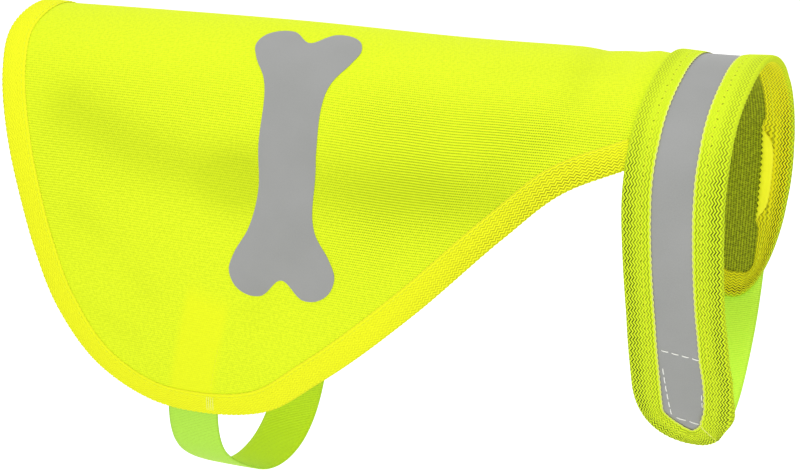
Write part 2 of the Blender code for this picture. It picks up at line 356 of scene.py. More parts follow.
def finish_piece(name, mesh, material):
    """Names a mesh, gives it its finish, and hangs it on the vest."""
    mesh.name = name
    mesh.materials.append(material)
    mesh.shade_smooth()
    piece = bpy.data.objects.new(name, mesh)
    bpy.context.scene.collection.objects.link(piece)
    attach(piece, "root")
    return piece


def cut_cloth(name, outline, pitch, out_of, thickness, material):
    """A piece cut to a flat outline. out_of says how far out the middle of the cloth lies at (x, across)."""
    sheet = bmesh.new()
    sheet.faces.new([sheet.verts.new((x, across, 0.0)) for x, across in outline])
    for axis in (0, 1):
        direction = Vector((axis == 0, axis == 1, 0))
        first = math.ceil(outline[:, axis].min() / pitch)
        last = math.floor(outline[:, axis].max() / pitch)
        for line in range(first, last + 1):
            bmesh.ops.bisect_plane(
                sheet,
                geom=sheet.verts[:] + sheet.edges[:] + sheet.faces[:],
                dist=1e-7,
                plane_co=direction * line * pitch,
                plane_no=direction,
            )
    mesh = bpy.data.meshes.new(name)
    sheet.to_mesh(mesh)
    sheet.free()
    flat = np.empty(len(mesh.vertices) * 3)
    mesh.vertices.foreach_get("co", flat)
    x, across = flat.reshape(-1, 3)[:, :2].T
    corners = np.empty(len(mesh.loops), int)
    mesh.loops.foreach_get("vertex_index", corners)
    cut = mesh.uv_layers.new(name="cut")
    cut.data.foreach_set("uv", np.stack([x, across], 1)[corners].ravel())
    # How deep in a trough each point lies, for the painted shade of the knit.
    painted_trough_shade = mesh.attributes.new("painted_trough_shade", "FLOAT", "POINT")
    painted_trough_shade.data.foreach_set("value", np.clip(-ease(x, across) / FULL_SHADE, 0.0, 1.0))
    mesh.vertices.foreach_set("co", worn(x, across, out_of(x, across)).ravel())
    mesh.update()
    piece = finish_piece(name, mesh, material)
    wall = piece.modifiers.new("thickness", "SOLIDIFY")
    wall.thickness = thickness
    wall.offset = 0.0
    bpy.context.view_layer.objects.active = piece
    bpy.ops.object.modifier_apply(modifier=wall.name)
    piece.data.set_sharp_from_angle(angle=CUT_EDGE_ANGLE)
    return piece


print("edges sharper than", round(math.degrees(CUT_EDGE_ANGLE)), "degrees stay sharp")

# %% [markdown]
# ## The knit of the back panel
# The panel is warp-knitted polyester in a fluorescent yellow: rows of tiny chains, with a pinhole between
# one stitch and the next. The rows lie along the spine. They show as fine darker lines, clearest where the
# cloth faces sideways, and nearly vanish where light falls straight on it, so they are painted fainter high
# on the back and towards the hem: painted light. The ends of the belly strap are sewn on behind the panel.
# No light comes through the pinholes there, so the cloth looks plain and yellower. Its stitches are far too
# many and too small to model, so they are painted and given relief by the material.
#
# Two helpers do most of the painting. share says how much of something shows: it multiplies soft steps,
# such as "below this height" and "inside this width". coats lays colours over each other by such shares.
# The scale of a noise is the number of its specks in a metre, so 0.7 / MM makes seven in every 10 mm of
# cloth: as fine as the fibres of a yarn can be drawn and still show.

# %% Helpers for painting cloth
MIX_A, MIX_B, MIXED = 6, 7, 2  # the colour inputs and the colour output of a Mix node


def share(tree, *parts):
    """Parts multiplied. A part is a number, a node, or a soft step (value, low, high, start, end): it goes
    from start to end, or from 0 to 1, as its value goes from low to high."""
    total = None
    for part in parts:
        if isinstance(part, tuple):
            value, low, high, *ends = part
            start, end = ends or (0.0, 1.0)
            part = add(tree, "MapRange", {"Value": value, "From Min": low, "From Max": high,
                       "To Min": start, "To Max": end}, interpolation_type="SMOOTHSTEP")
        total = part if total is None else add(tree, "Math", {0: total, 1: part}, operation="MULTIPLY")
    return total


def coats(tree, colour, *layers):
    """A colour with others laid over it, each given with the share of it that shows."""
    for shows, layer in layers:
        colour = add(tree, "Mix", {0: shows, MIX_A: colour, MIX_B: layer}, data_type="RGBA").outputs[MIXED]
    return colour


def wave(tree, along, period, start=0.0):
    """A cosine wave along one size of the cloth, 1 at the start."""
    scale = 2.0 * math.pi / period
    angle = add(tree, "Math", {0: along, 1: scale, 2: -start * scale}, operation="MULTIPLY_ADD")
    return add(tree, "Math", {0: angle}, operation="COSINE")


def cloth_finish(tree, shader, colour, relief, roughness, sheen_tint):
    """Fibres scatter light: a rough surface, a weak shine, and a little sheen at grazing angles."""
    plug(tree, shader, {"Base Color": colour, "Normal": relief, "Roughness": roughness,
         "Specular IOR Level": 0.25, "Sheen Weight": 0.10, "Sheen Roughness": 0.5, "Sheen Tint": sheen_tint})


# %% The rows of the knit
KNIT_ROW = 1.3 * MM
KNIT_STITCH = 1.15 * MM
KNIT_WANDER = 0.7  # of a row: how far the rows wander
PINHOLE_GAP = 0.25  # how dark a groove is between two pinholes


def knitted_rows(tree, flat, pitch, turn):
    """How deep in a groove of the knit a point lies, from 0 to 1. The rows are turned from x."""
    flat = add(tree, "Mapping", {"Vector": flat, "Rotation": (0.0, 0.0, math.radians(turn))},
               vector_type="TEXTURE")
    wander = add(tree, "TexNoise", {"Vector": flat, "Scale": 0.045 / MM, "Detail": 1.0})
    sizes = add(tree, "SeparateXYZ", {0: flat})
    across = add(tree, "Math", {0: wander, 1: KNIT_WANDER * pitch, 2: sizes.outputs["Y"]},
                 operation="MULTIPLY_ADD")
    brick = add(tree, "Math", {0: across, 1: KNIT_STITCH / (2.0 * pitch), 2: sizes.outputs["X"]},
                operation="MULTIPLY_ADD")
    return share(tree, (wave(tree, across, pitch), -0.2, 0.85),
                 (wave(tree, brick, KNIT_STITCH), -0.4, 0.9, PINHOLE_GAP, 1.0))


print("knit: a row every", KNIT_ROW / MM, "mm, a stitch every", KNIT_STITCH / MM, "mm")

# %% Warp-knitted polyester
StrapEnd = namedtuple("StrapEnd", "x across turn down")
STRAP_ENDS = (  # its inner end, its turn from straight across, and which way down is
    StrapEnd(-0.0755, 0.1645, 17.5, 1.0),
    StrapEnd(-0.0760, -0.1645, -4.0, -1.0),
)
STRAP_WIDTH = 0.030
STRAP_SHOWS = 0.65  # how clearly they show through
# Painted shade: how much darker the knit is painted at the bottom of a trough.
PAINTED_TROUGH_SHADE = 0.36  # how much deeper the colour is at the bottom of a trough


def knit_material(name, lit, unlit, groove_colour, pitch, turn, strength, low, strap_ends=()):
    """Knit. Its yarn is mottled between two colours, and the grooves between its rows are darker. strength
    says how clearly they show, at the tail and at the neck, and low how much of that is left at the hem,
    where they are painted fainter as painted light. In troughs the colour is painted darker: painted shade."""
    material, tree, shader = new_material(name)
    flat = add(tree, "UVMap", uv_map="cut")
    grooves = knitted_rows(tree, flat, pitch, turn)
    patches = add(tree, "TexNoise", {"Vector": flat, "Scale": 0.012 / MM, "Detail": 2.0})
    place = add(tree, "SeparateXYZ", {0: add(tree, "TexCoord").outputs["Object"]}).outputs
    seen = share(
        tree,
        grooves,
        (patches, 0.35, 0.65, 0.70, 1.0),
        # Painted light: the grooves are painted fainter high on the back and towards the hem.
        (place["Z"], -0.032, -0.005, 1.0, 0.15),
        (place["Z"], -0.130, -0.060, low, 1.0),
        (place["X"], -0.045, 0.030, *strength),
    )
    fibres = add(tree, "TexNoise", {"Vector": flat, "Scale": 0.7 / MM, "Detail": 3.0})
    # Painted shade: the knit is painted darker where the cloth lies deep in a trough.
    painted_trough_shade = add(tree, "Attribute", attribute_name="painted_trough_shade").outputs["Fac"]
    colour = coats(
        tree,
        unlit,
        (share(tree, (fibres, 0.36, 0.64)), lit),
        (share(tree, painted_trough_shade, PAINTED_TROUGH_SHADE), "#A6BE00"),
    )
    for end in strap_ends:
        straight = add(tree, "Mapping", {
            "Vector": flat,
            "Location": (end.x, end.across, 0.0),
            "Rotation": (0.0, 0.0, math.radians(end.turn)),
            "Scale": (1.0, end.down, 1.0),
        }, vector_type="TEXTURE")
        sizes = add(tree, "SeparateXYZ", {0: straight}).outputs
        aside = add(tree, "Math", {0: sizes["X"]}, operation="ABSOLUTE")
        covered = share(
            tree,
            (aside, STRAP_WIDTH / 2 - 6.0 * MM, STRAP_WIDTH / 2, STRAP_SHOWS, 0.0),
            (sizes["Y"], -8.0 * MM, 10.0 * MM),
        )
        plain = add(tree, "Math", {0: 1.0, 1: covered}, operation="SUBTRACT")
        seen = share(tree, seen, plain)
        colour = coats(tree, colour, (covered, "#F2FA10"))
    colour = coats(tree, colour, (seen, groove_colour))
    relief = add(tree, "Bump", {"Height": grooves, "Strength": 0.6, "Distance": 0.15 * MM}, invert=True)
    cloth_finish(tree, shader, colour, relief, 0.82, "#F0FF40")
    return material


knit = knit_material("warp_knitted_polyester", "#ECFF1E", "#E0F518", "#6E8000", KNIT_ROW, turn=2.0,
                     strength=(0.45, 1.0), low=0.40, strap_ends=STRAP_ENDS)
print(knit.name, "has", len(knit.node_tree.nodes), "nodes")

# %% [markdown]
# ## Outlines
# A pattern cutter marks a few points and draws a smooth curve through them. A Bezier curve could do that
# too, but it can't be measured along as easily. These helpers draw the curve as evenly spaced points, and
# measure along it, as a tape measure would. A binding also needs to know which way the cloth lies, so the
# last one gives the direction to the left of a line.


# %% Helpers for outlines
def lengths_along(points):
    """The distance of each point from the first, along the line through them."""
    steps = np.linalg.norm(np.diff(points, axis=0), axis=1)
    return np.concatenate([[0.0], np.cumsum(steps)])


def points_at(places, along, points):
    """The points of a line at places along it. along says how far along each of its own points is."""
    return np.column_stack([np.interp(places, along, column) for column in points.T])


def smooth_line(points, spacing):
    """Evenly spaced points on a smooth curve through the given ones."""
    points = np.array(points)
    knots = lengths_along(points)
    fine = between_rows(points, knots, np.linspace(0.0, knots[-1], 4000))
    along = lengths_along(fine)
    even = np.linspace(0.0, along[-1], round(along[-1] / spacing) + 1)
    return points_at(even, along, fine)


def leftward(line):
    """The direction square to a line, to its left."""
    heading = np.gradient(line, axis=0)
    left = np.column_stack([-heading[:, 1], heading[:, 0]])
    return left / np.linalg.norm(left, axis=1)[:, None]


diagonal = [(0.0, 0.0), (3.0 * MM, 4.0 * MM)]
print("across a 3 by 4 mm corner, mm:", round(lengths_along(diagonal)[-1] / MM, 1))

# %% [markdown]
# ## The back panel
# One piece from the tail to the collar and down both sides. Half of its hem is a short table, mirrored for
# the far side. The cut edge itself lies inside the folded binding, a little in from the finished hem, and
# the front edge lies under the collar.

# %% Back panel
HEM_END = 0.1405
Cut = namedtuple("Cut", "x across")
HEM = (  # half of the finished hem, from the middle of the tail to the collar
    Cut(-0.2125, 0.0000),
    Cut(-0.2125, 0.0280),
    Cut(-0.2070, 0.0505),
    Cut(-0.1975, 0.0815),
    Cut(-0.1885, 0.1115),
    Cut(-0.1805, 0.1435),
    Cut(-0.1695, 0.1775),
    Cut(-0.1470, 0.2120),
    Cut(-0.1190, 0.2290),
    Cut(-0.0880, 0.2320),
    Cut(-0.0530, 0.2255),
    Cut(-0.0175, 0.2005),
    Cut(0.0360, 0.1550),
    Cut(0.0830, 0.1115),
    Cut(0.1105, 0.0885),
    Cut(HEM_END, 0.0745),
)
PANEL_SHIFT = 0.006  # it sits this much round to the near side
PANEL_FRONT = 0.152
PANEL_MIDDLE = 0.50 * MM
PANEL_THICKNESS = 0.70 * MM
PANEL_GRID = 3.2 * MM
HEM_STEP = 0.2 * MM  # between the points of its line
CUT_EDGE_STEP = 15  # points of that line
CUT_EDGE_INSET = 2.0 * MM

whole_hem = HEM[::-1] + tuple((cut.x, -cut.across) for cut in HEM[1:])
hem_line = smooth_line(whole_hem, HEM_STEP) + (0.0, PANEL_SHIFT)
hem_inward = leftward(hem_line)
cut_edge = (hem_line + CUT_EDGE_INSET * hem_inward)[::CUT_EDGE_STEP]
front_corners = [(PANEL_FRONT, cut_edge[-1][1]), (PANEL_FRONT, cut_edge[0][1])]
panel = cut_cloth(
    "back_panel_cloth",
    np.vstack([cut_edge, front_corners]),
    PANEL_GRID,
    lambda x, across: PANEL_MIDDLE + ease(x, across),
    PANEL_THICKNESS,
    knit,
)
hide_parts("back_panel")
print("panel:", triangle_count(panel), "triangles; hem", round(lengths_along(hem_line)[-1], 3), "m")

# %% [markdown]
# ## Long, narrow pieces
# A binding, a strap or a stitch is long and narrow. A curve with a bevel would make one with a plain cross-
# section, but here ribs zigzag along it and leaves curl. So each piece is a row of rings, one after the
# other along its length, joined by four-sided faces into a closed skin, with a face over either end. A row
# of stitches is many such skins in one mesh.


# %% Helper for long pieces
def skin(name, points, places, material):
    """Closed skins round rows of rings: points[piece, row, place round the ring], with their UV places."""
    pieces, rows, ring = points.shape[:3]
    piece = np.arange(pieces)[:, None, None]
    row = np.arange(rows - 1)[:, None]
    column = np.arange(ring)
    corners = [(row, column), (row + 1, column), (row + 1, column + 1), (row, column + 1)]
    numbers = [(piece * rows + r) * ring + c % ring for r, c in corners]
    faces = np.stack(np.broadcast_arrays(*numbers), axis=-1).reshape(-1, 4).tolist()
    for first in range(0, pieces * rows * ring, rows * ring):  # a face over either end
        last = first + (rows - 1) * ring
        faces += [list(range(first, first + ring))[::-1], list(range(last, last + ring))]
    mapped = [number for face in faces for number in face]
    mesh = bpy.data.meshes.new(name)
    mesh.from_pydata(points.reshape(-1, 3).tolist(), [], faces)
    cut = mesh.uv_layers.new(name="cut")
    cut.data.foreach_set("uv", places.reshape(-1, 2)[mapped].ravel())
    work = bmesh.new()
    work.from_mesh(mesh)
    bmesh.ops.recalc_face_normals(work, faces=work.faces)
    work.to_mesh(mesh)
    work.free()
    return finish_piece(name, mesh, material)


# %% [markdown]
# ## Knitted binding
# The edges are bound with a knitted tape, folded lengthwise over the edge and sewn through. It is a raised
# herringbone: its ribs run along the tape and zigzag as they go. A relief in the material alone would look
# flat where the tape turns away, so the ribs are real shape here. Every column of the mesh follows a rib,
# four columns to a rib, and its rows lie only where the zigzag turns, so few faces show it. The ribs are
# drawn a little wider than real ones, or they would blur. Towards both long edges the tape gets thinner. In
# the flat, u runs along the tape, and v across it: 0 in the fold, positive on the outer leaf.

# %% Binding: its zigzag and cross-section
RIB = 1.42 * MM
RIB_HEIGHT = 0.22 * MM
FIRST_GROOVE = 2.45 * MM  # from the fold
ZIGZAG = 3.08 * MM
SWING = 0.55 * MM
ROWS_A_ZIGZAG = 2  # one where it turns one way, and one where it turns back
COLUMNS_A_RIB = 4
TAPE_THICKNESS = 0.80 * MM
EDGE_THINNER = 0.45
LEAF_WIDTH = 14.0 * MM
BACK_MARK = 20.0 * MM  # the flat size v all over the back, where the face's pattern has no place
BACK_PLACES = MM * np.array([
    -13.6, -13.0, -12.4, -11.8, -11.2, -10.6, -10.0, -8.8, -5.0, -2.6, -1.3, 0.0, 1.3, 2.6, 5.0, 9.0, 13.6
])
Leaf = namedtuple("Leaf", "inset out")  # mm from the finished edge, and out from the figure


def cross_section(outer_leaf, inner_leaf):
    """The middle line of a folded tape: the outer leaf, the round fold and the inner leaf."""
    outer_leaf, inner_leaf = MM * np.array(outer_leaf), MM * np.array(inner_leaf)
    radius = (outer_leaf[-1, 1] - inner_leaf[0, 1]) / 2
    centre = outer_leaf[-1] - (0.0, radius)
    turn = np.radians(np.arange(70.0, -80.0, -20.0))
    arc = centre + radius * np.column_stack([-np.cos(turn), np.sin(turn)])
    return smooth_line(np.vstack([outer_leaf, arc, inner_leaf]), 0.1 * MM)


def bound_edge(name, line, inward, section, fine_inside, material, loosen=None, swell=None):
    """Binding round an edge. line is the finished edge in the flat, inward the direction into the cloth.
    loosen moves points of the tape, and swell says how far the tape is lifted at each point of the line.
    fine_inside keeps every column of the inner leaf, for a tape that is seen from both sides."""
    along = lengths_along(line)
    rows = round(along[-1] / ZIGZAG) * ROWS_A_ZIGZAG + 1
    u = np.linspace(0.0, along[-1], rows)
    line, inward = points_at(u, along, line), points_at(u, along, inward)
    # Across the tape: columns on every rib of the face, and a few on the back, which is plain.
    places = lengths_along(section)
    middle = places[-1] / 2
    side = -leftward(section)
    column = RIB / COLUMNS_A_RIB
    most = math.floor(LEAF_WIDTH / column)
    v = np.arange(most, -most - 1, -1) * column + FIRST_GROOVE % column
    v = v[np.abs(v) < middle - 0.5 * MM]
    if not fine_inside:
        inside = v < -2.0 * MM
        v = np.concatenate([v[~inside], v[inside][1::2]])
    relief = -RIB_HEIGHT / 2 * np.cos(2 * math.pi * (v - FIRST_GROOVE) / RIB)
    away = np.concatenate([TAPE_THICKNESS / 2 + relief, np.full(len(BACK_PLACES), -TAPE_THICKNESS / 2)])
    marks = np.concatenate([v, np.sign(BACK_PLACES) * BACK_MARK])
    v = np.concatenate([v, BACK_PLACES])
    away = away * np.interp(np.abs(v), (LEAF_WIDTH - 2.0 * MM, LEAF_WIDTH - 0.4 * MM), (1.0, EDGE_THINNER))
    if swell is not None:
        away = away + np.interp(u, along, swell)[:, None]
    # Every second row swings to one side, and the rows between them to the other.
    zigzag = SWING * np.array([1.0, -1.0])[np.arange(rows) % ROWS_A_ZIGZAG]
    calm = np.interp(np.abs(v), (LEAF_WIDTH - 3.0 * MM, LEAF_WIDTH), (1.0, 0.35))
    place = middle - (v + zigzag[:, None] * calm)
    inset = np.interp(place, places, section[:, 0]) + away * np.interp(place, places, side[:, 0])
    out = np.interp(place, places, section[:, 1]) + away * np.interp(place, places, side[:, 1])
    if loosen is not None:
        inset, out = loosen(*line.T[:, :, None], v, inset, out)
    x = line[:, :1] + inset * inward[:, :1]
    across = line[:, 1:] + inset * inward[:, 1:]
    out = out + ease(x, across)
    points = worn(x, across, out).reshape(1, rows, len(v), 3)
    flat_u = np.arange(rows) * ZIGZAG / ROWS_A_ZIGZAG
    flat = np.stack(np.broadcast_arrays(flat_u[:, None], marks), axis=-1)[None]
    return skin(name, points, flat, material)


print("binding:", ROWS_A_ZIGZAG, "rows every", round(ZIGZAG / MM, 2), "mm")

# %% [markdown]
# The yarn of the binding is the same fluorescent yellow. Its grooves are shaded by colour as well as by
# shape, because light that enters a knit is lost between its loops. A few grooves next to the fold are
# openwork, and look almost black on the collar. The strokes that lean one way are a little darker than
# those that lean back. High up, where light falls straight on the tape, the grooves are painted fainter:
# painted light. The back of the tape is plain and bright. The inner leaf is painted warmer, as painted
# bounce light from the yellow cloth it faces, and high up it has a faint painted glow, which stands in for
# light from outside coming through. The tape's long edges end in a pale looped thread, and the needle
# leaves small dark holes.


# %% Binding: its finish
NEEDLE_LINE = 9.6 * MM  # from the fold: where the collar's tape is sewn through
HOLE_PITCH = 4.3 * MM
OPENWORK = (1.8 * MM, 2.0 * MM, 5.2 * MM, 5.8 * MM)  # from the fold: where it starts, and where it ends
HALF_OPEN = 7.4 * MM


def binding_material(name, lit, unlit, groove_colour, openwork, plain, looped_edge, holes):
    """Zigzag binding. openwork and plain say how dark its grooves are, 0 to 1, at the tail and the neck.
    looped_edge and holes say how clearly the edge thread and the needle's holes show."""
    material, tree, shader = new_material(name)
    flat = add(tree, "UVMap", uv_map="cut")
    sizes = add(tree, "SeparateXYZ", {0: flat}).outputs
    u, v = sizes["X"], sizes["Y"]
    aside = add(tree, "Math", {0: v}, operation="ABSOLUTE")
    groove = share(
        tree,
        (wave(tree, v, RIB, FIRST_GROOVE), -0.30, 0.60),
        (wave(tree, u, ZIGZAG, -ZIGZAG / 4), -0.5, 0.5, 0.86, 1.0),
        (aside, LEAF_WIDTH - 0.4 * MM, LEAF_WIDTH, 1.0, 0.0),
    )
    uneven = add(tree, "TexNoise", {"Vector": flat, "Scale": 0.3 / MM, "Detail": 2.0})
    open_band = share(tree, (aside, *OPENWORK[:2]), (aside, *OPENWORK[2:], 1.0, 0.0))
    beside = share(tree, (aside, *OPENWORK[2:]), (aside, HALF_OPEN - 0.8 * MM, HALF_OPEN, 0.5, 0.0))
    band = add(tree, "Math", {0: open_band, 1: beside}, operation="MAXIMUM")
    place = add(tree, "SeparateXYZ", {0: add(tree, "TexCoord").outputs["Object"]}).outputs
    inside = share(tree, (v, -3.0 * MM, -0.5 * MM, 1.0, 0.0))
    # Painted light: high up, where light falls straight on the tape, its grooves and openwork are painted
    # fainter.
    faded = share(tree, (place["Z"], -0.045, -0.008, 1.0, 0.12))
    faded = add(tree, "Math", {0: faded, 1: inside}, operation="MAXIMUM")
    plain_here = share(tree, (place["X"], 0.00, 0.12, *plain), faded)
    open_here = share(tree, (place["X"], 0.00, 0.12, *openwork), (place["Z"], -0.050, -0.003, 1.0, 0.42))
    strength = add(tree, "MapRange", {"Value": band, "To Min": plain_here, "To Max": open_here})
    sewn = add(tree, "Math", {0: v, 1: NEEDLE_LINE}, operation="SUBTRACT")
    sewn = add(tree, "Math", {0: sewn}, operation="ABSOLUTE")
    # Painted bounce light: the inner leaf is painted warmer, as light that has met yellow cloth would make
    # it.
    colour = coats(
        tree,
        unlit,
        (add(tree, "TexNoise", {"Vector": flat, "Scale": 0.8 / MM, "Detail": 3.0}), lit),
        (inside, "#F4EE1A"),
        (share(tree, (aside, LEAF_WIDTH - 0.4 * MM, LEAF_WIDTH)), "#FFFC30"),
        (share(tree, groove, (uneven, 0.35, 0.60, 0.80, 1.0), strength), groove_colour),
        (share(tree, (wave(tree, u, HOLE_PITCH), 0.80, 0.95), (sewn, 0.25 * MM, 0.55 * MM, holes, 0.0)),
         "#5E6400"),
        (share(tree, (v, LEAF_WIDTH - 0.6 * MM, LEAF_WIDTH - 0.3 * MM, 0.0, looped_edge)), "#F4FFA8"),
    )
    # Painted light: the inner leaf glows faintly high up, standing in for light from outside coming through
    # the tape.
    through = share(tree, inside, (place["Z"], -0.110, -0.070, 0.0, 0.12))
    plug(tree, shader, {"Emission Color": colour, "Emission Strength": through})
    fine = add(tree, "Bump", {"Height": uneven, "Strength": 0.5, "Distance": 0.12 * MM})
    relief = add(tree, "Bump", {"Height": groove, "Strength": 0.5, "Distance": 0.15 * MM, "Normal": fine},
                 invert=True)
    cloth_finish(tree, shader, colour, relief, 0.85, "#F0FF40")
    return material


hem_tape = binding_material("knitted_hem_tape", "#FBFF1E", "#F0F616", "#7C7A00",
                            openwork=(0.16, 0.85), plain=(0.12, 0.68), looped_edge=0.0, holes=0.1)
collar_tape = binding_material("knitted_collar_tape", "#E4FC26", "#D6F01E", "#1E2A00",
                               openwork=(1.0, 1.0), plain=(0.60, 0.60), looped_edge=0.5, holes=0.7)
print("binding finishes:", hem_tape.name, "and", collar_tape.name)

# %% [markdown]
# ## The bound hem
# The tape goes all round the panel, from the collar on the near side, round the tail, to the collar on the
# far side. It is pulled down where it is sewn, near its inner edge, and stays puffed over the fold. So its
# cross-section is drawn first, as a few points of each leaf, and then taken along the hem.

# %% Hem binding
hem_section = cross_section(
    outer_leaf=(
        Leaf(14.5, 0.95),
        Leaf(12.0, 1.20),
        Leaf(10.0, 1.34),
        Leaf(6.0, 1.52),
        Leaf(3.5, 1.60),
        Leaf(1.5, 1.60),
    ),
    inner_leaf=(
        Leaf(1.5, -0.60),
        Leaf(4.0, -0.55),
        Leaf(12.0, -0.20),
        Leaf(14.5, -0.28),
    ),
)
UNDER_COLLAR = 5.0 * MM  # both ends of the tape run on under the collar
ends = [
    hem_line[end] + UNDER_COLLAR / HEM_STEP * (hem_line[end] - hem_line[next_in])
    for end, next_in in ((0, 1), (-1, -2))
]
tape_line = np.vstack([ends[0], hem_line, ends[1]])
tape_inward = np.vstack([hem_inward[0], hem_inward, hem_inward[-1]])
hem = bound_edge(
    "hem_binding_tape", tape_line, tape_inward, hem_section, fine_inside=False, material=hem_tape
)
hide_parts("hem_binding")
print("hem binding:", triangle_count(hem), "triangles")

# %% [markdown]
# ## The bone
# A plain dog bone is cut from glass-bead film and pressed on, so it is very thin and takes every crease of
# the cloth below. Circles joined to a bar would give its shape, but with hard inner corners, where a real
# one is cut in soft curves. So half of its outline is made from a few sizes, as points for a smooth curve:
# four round knobs, two notches and a shaft with a slight waist.
#
# The film is a smooth satin grey in plain light. Its tiny glass beads break up any shine, which a fine
# speckle in the roughness and the colour stands for.

# %% Glass-bead film and the bone
film, tree, shader = new_material("glass_bead_film")
flat = add(tree, "UVMap", uv_map="cut")
beads = add(tree, "TexNoise", {"Vector": flat, "Scale": 1.6 / MM, "Detail": 2.0})
wear = add(tree, "TexNoise", {"Vector": flat, "Scale": 0.026 / MM, "Detail": 3.0})
worn_grey = share(tree, (wear, 0.3, 0.7, 0.0, 0.35))
plug(tree, shader, {
    "Base Color": coats(tree, "#919290", (beads, "#9FA09E"), (worn_grey, "#A7A7A7")),
    "Roughness": add(tree, "MapRange", {"Value": wear, "To Min": 0.40, "To Max": 0.56}),
    "Normal": add(tree, "Bump", {"Height": beads, "Strength": 0.25, "Distance": 0.03 * MM}),
    "Specular IOR Level": 0.35,
})

BONE_X = -0.0355
BONE_ACROSS = 0.0875
BONE_TURN = math.radians(2.3)
BONE_LENGTH = 0.147
BONE_SPAN = 0.0575
BONE_KNOB = 0.0138
BONE_NOTCH = 0.010
BONE_SHOULDER = 0.021
BONE_NECK = 0.037
BONE_WAIST = 0.0315
BONE_BOW = 0.0034
BONE_OUT = 1.05 * MM
FILM_THICKNESS = 0.25 * MM
FILM_GRID = 2.5 * MM


def bone_outline():
    """The bone in the flat, from its sizes. Its upper end leans a little to the tail."""
    knob_x = BONE_SPAN / 2 - BONE_KNOB
    knob_end = BONE_LENGTH / 2 - BONE_KNOB
    quarter = [(BONE_WAIST / 2, 0.0), (BONE_NECK / 2, knob_end - BONE_SHOULDER)]
    for degrees in (-37, 0, 40, 80, 100):
        angle = math.radians(degrees)
        quarter.append((knob_x + BONE_KNOB * math.cos(angle), knob_end + BONE_KNOB * math.sin(angle)))
    notch = [(0.0, BONE_LENGTH / 2 - BONE_NOTCH)]
    half = quarter + notch + [(-x, y) for x, y in reversed(quarter)]
    loop = smooth_line(half + [(-x, -y) for x, y in half[1:]], 2.0 * MM)[:-1]
    loop[:, 0] += BONE_BOW * (np.cos(math.pi * loop[:, 1] / BONE_LENGTH) - 0.5)
    cosine, sine = math.cos(BONE_TURN), math.sin(BONE_TURN)
    lean = np.array([[cosine, -sine], [sine, cosine]])
    return loop @ lean + (BONE_X, BONE_ACROSS)


bone = cut_cloth(
    "bone_film",
    bone_outline(),
    FILM_GRID,
    lambda x, across: BONE_OUT + ease(x, across),
    FILM_THICKNESS,
    film,
)
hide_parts("bone_patch")
print("bone:", triangle_count(bone), "triangles")

# %% [markdown]
# ## The collar
# The collar is a strip with rounded corners, bound all round. Two outlines make it: its finished edge, and
# the line where the leaves of the binding end, which turns its corners far tighter. The strip isn't quite
# straight: a small table says how far its two long edges sway towards the neck as they go round.

# %% The collar's outlines
Corner = namedtuple("Corner", "x across round_x round_across flat", defaults=[1.0])
COLLAR = (
    Corner(0.1432, 0.2315, 0.026, 0.045),
    Corner(0.1405, -0.1775, 0.020, 0.030),
    Corner(0.1885, -0.1775, 0.026, 0.080),
    Corner(0.1905, 0.2315, 0.020, 0.042),
)
LEAF_EDGE = (
    Corner(0.1575, 0.2165, 0.0128, 0.0125, flat=1.6),
    Corner(0.1545, -0.1635, 0.0060, 0.0080),
    Corner(0.1720, -0.1635, 0.0040, 0.0070),
    Corner(0.1765, 0.2165, 0.0073, 0.0190),
)
Sway = namedtuple("Sway", "across rear front")  # the last two in mm
SWAY = np.array([
    Sway(0.0300, -0.3, -0.4),
    Sway(0.0550, -1.5, -1.2),
    Sway(0.0750, -2.1, -1.1),
    Sway(0.1000, -1.9, -0.8),
    Sway(0.1220, -1.0, -0.5),
    Sway(0.1450, 0.0, 0.3),
    Sway(0.1650, 0.3, 1.5),
    Sway(0.1850, 0.4, 2.0),
    Sway(0.2000, 0.1, 1.6),
    Sway(0.2150, 0.0, 0.4),
    Sway(0.2300, 0.0, 0.0),
])


def rounded_strip(corners, inset, corner_steps=40, side_steps=200, end_steps=6):
    """Points round a strip with rounded corners, inside its edge by the inset, ending where they begin."""
    quarter = np.linspace(0.0, math.pi / 2, corner_steps + 1)
    middle_x = (corners[0].x + corners[-1].x) / 2
    turns = []
    for index, corner in enumerate(corners):
        outward = np.array([math.copysign(1.0, corner.x - middle_x), math.copysign(1.0, corner.across)])
        rounding = np.array([corner.round_x, corner.round_across])
        centre = np.array([corner.x, corner.across]) - outward * rounding
        angles = quarter if index % 2 else quarter[::-1]
        reach = outward * (rounding - inset)
        arc = np.abs(np.column_stack([np.cos(angles), np.sin(angles)])) ** corner.flat
        turns.append(centre + reach * arc)
    loop = []
    for index, turn in enumerate(turns):
        following = turns[(index + 1) % len(turns)][0]
        steps = end_steps if index % 2 else side_steps
        done = np.linspace(0.0, 1.0, steps + 2)[1:-1, None]
        loop += [turn, turn[-1] + done * (following - turn[-1])]
    points = np.vstack([*loop, turns[0][:1]])
    rear, front = MM * between_rows(SWAY[:, 1:], SWAY[:, 0], points[:, 1]).T
    forward = np.clip((points[:, 0] - COLLAR[0].x) / (COLLAR[3].x - COLLAR[0].x), 0.0, 1.0)
    points[:, 0] += rear + (front - rear) * forward
    return points


print("round the collar:", round(lengths_along(rounded_strip(COLLAR, 0.0))[-1], 3), "m")

# %% [markdown]
# The collar's cloth is the same knit. It shows on the inside only, where little light reaches, and there its
# fine ribs run round the neck. Its colours are darker than the panel's: partly the grey film that lies
# behind the mesh, partly painted shade. A strip of the film lies along its middle, under the edges of the
# binding. The collar lies on the panel's front edge, so it is layered outward from there: inner leaf, knit,
# film, outer leaf.

# %% Collar cloth and film
COLLAR_OUT = 2.45 * MM
COLLAR_GRID = 3.0 * MM
COLLAR_FILM_OUT = 2.97 * MM
LINING_ROW = 1.4 * MM


